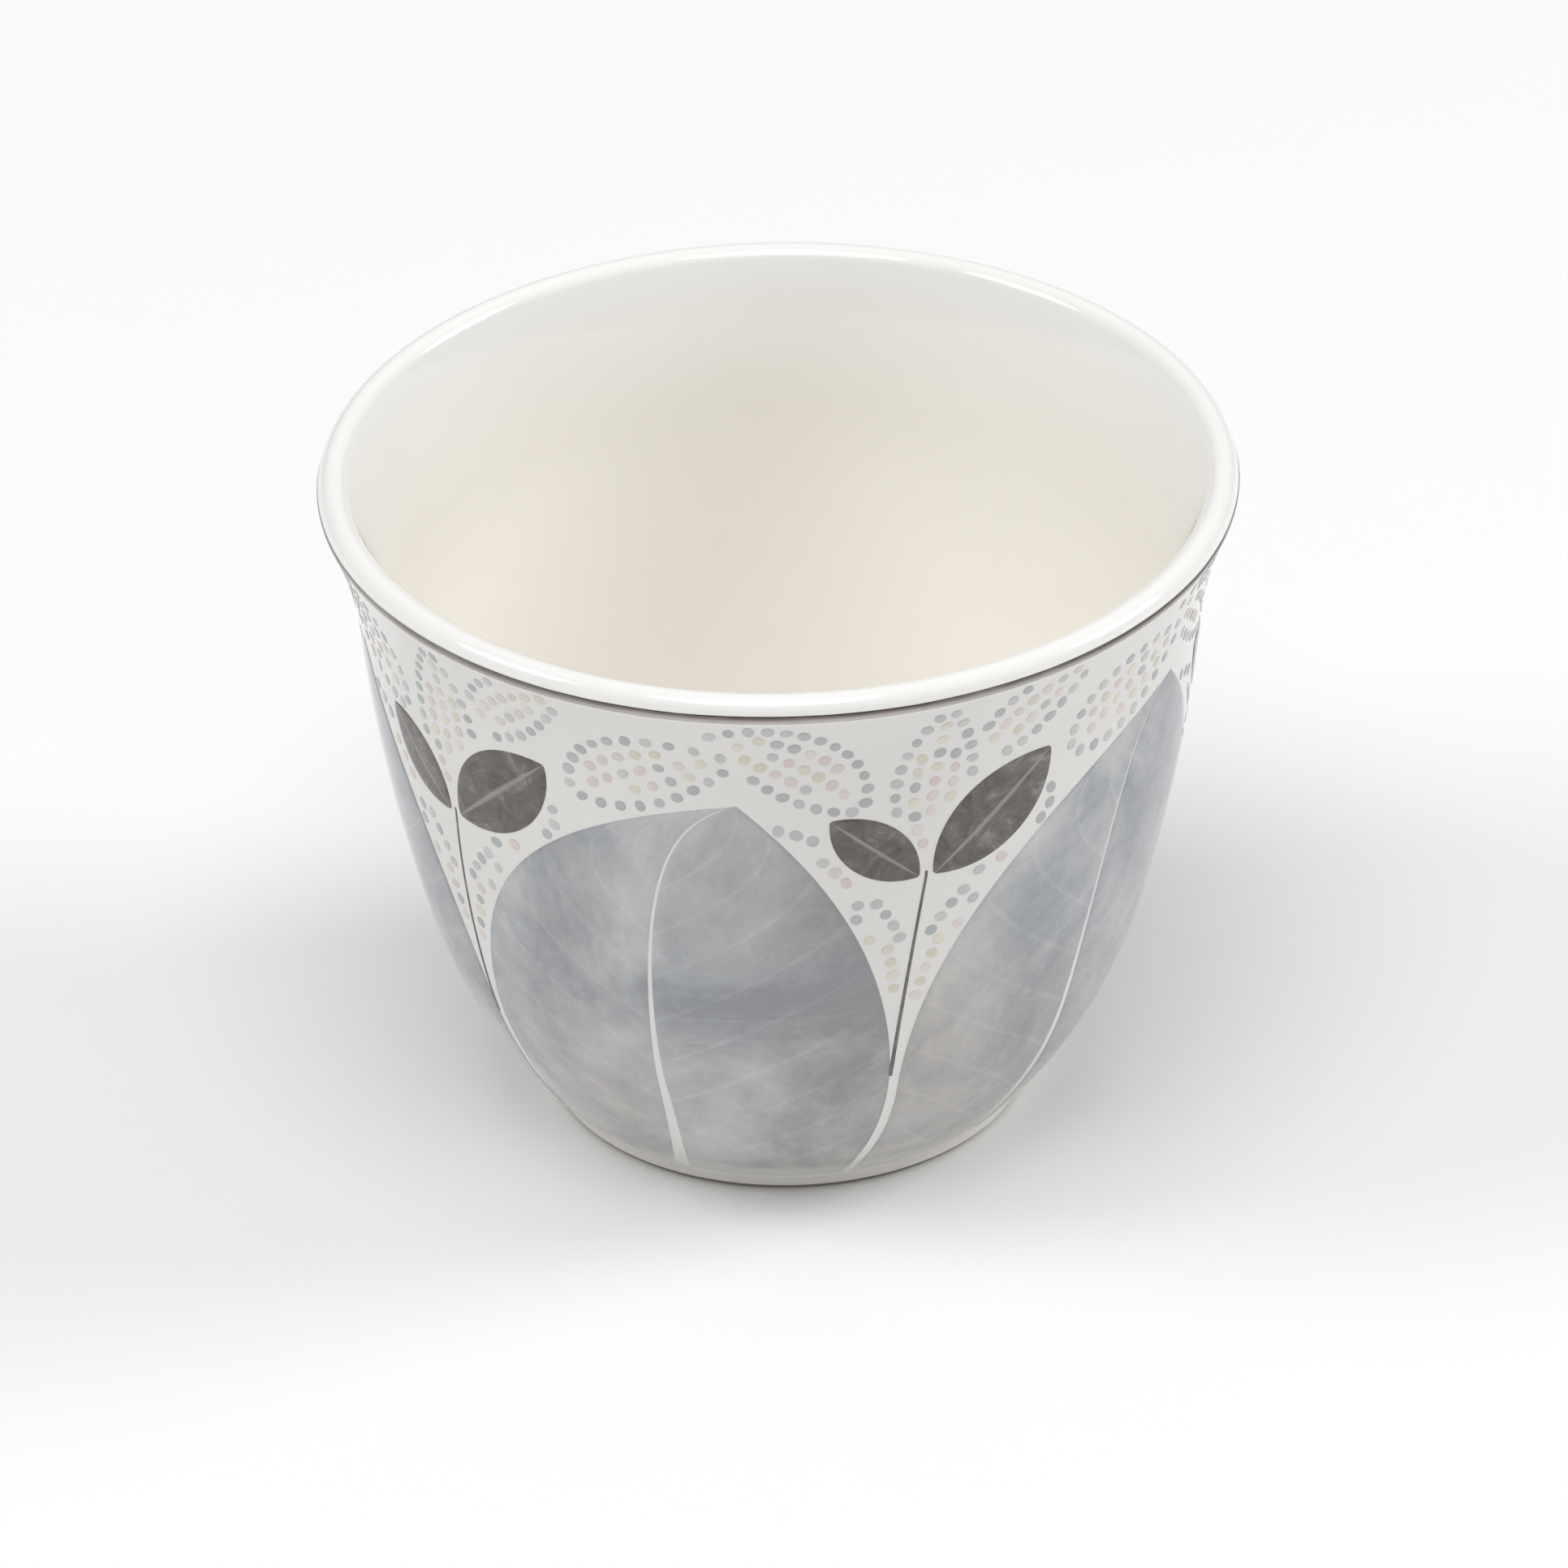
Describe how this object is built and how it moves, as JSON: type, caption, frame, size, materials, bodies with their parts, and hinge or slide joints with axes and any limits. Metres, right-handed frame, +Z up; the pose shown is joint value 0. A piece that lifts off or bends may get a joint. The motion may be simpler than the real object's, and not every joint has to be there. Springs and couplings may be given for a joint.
{
  "type": "arabic coffee cup",
  "caption": "Small handleless porcelain coffee cup with a flared round lip, a foot ring, a thin metal band and a printed leaf pattern.",
  "frame": {"origin": "centre of the foot ring's contact face, on the table", "axes": "+Z up along the cup's axis; -Y is the side that faces the picture's camera"},
  "size_m": [0.0641, 0.064, 0.049],
  "materials": {
    "biscuit_porcelain": "unglazed, matt, where the foot ring is bare",
    "glaze": "clear gloss over warm white porcelain",
    "platinum_lustre": "thin fired metal, hand banded, softly polished",
    "grey_wash_enamel": "fired print, mottled blue-grey like watercolour, gloss",
    "dark_enamel": "fired print, dark taupe, gloss"
  },
  "bodies": {
    "root": {"porcelain_body": "biscuit_porcelain", "glaze_coat": "glaze", "platinum_rim_band": "platinum_lustre", "print_broad_leaves": "grey_wash_enamel", "print_dark_leaves": "dark_enamel"}
  },
  "joints": []
}
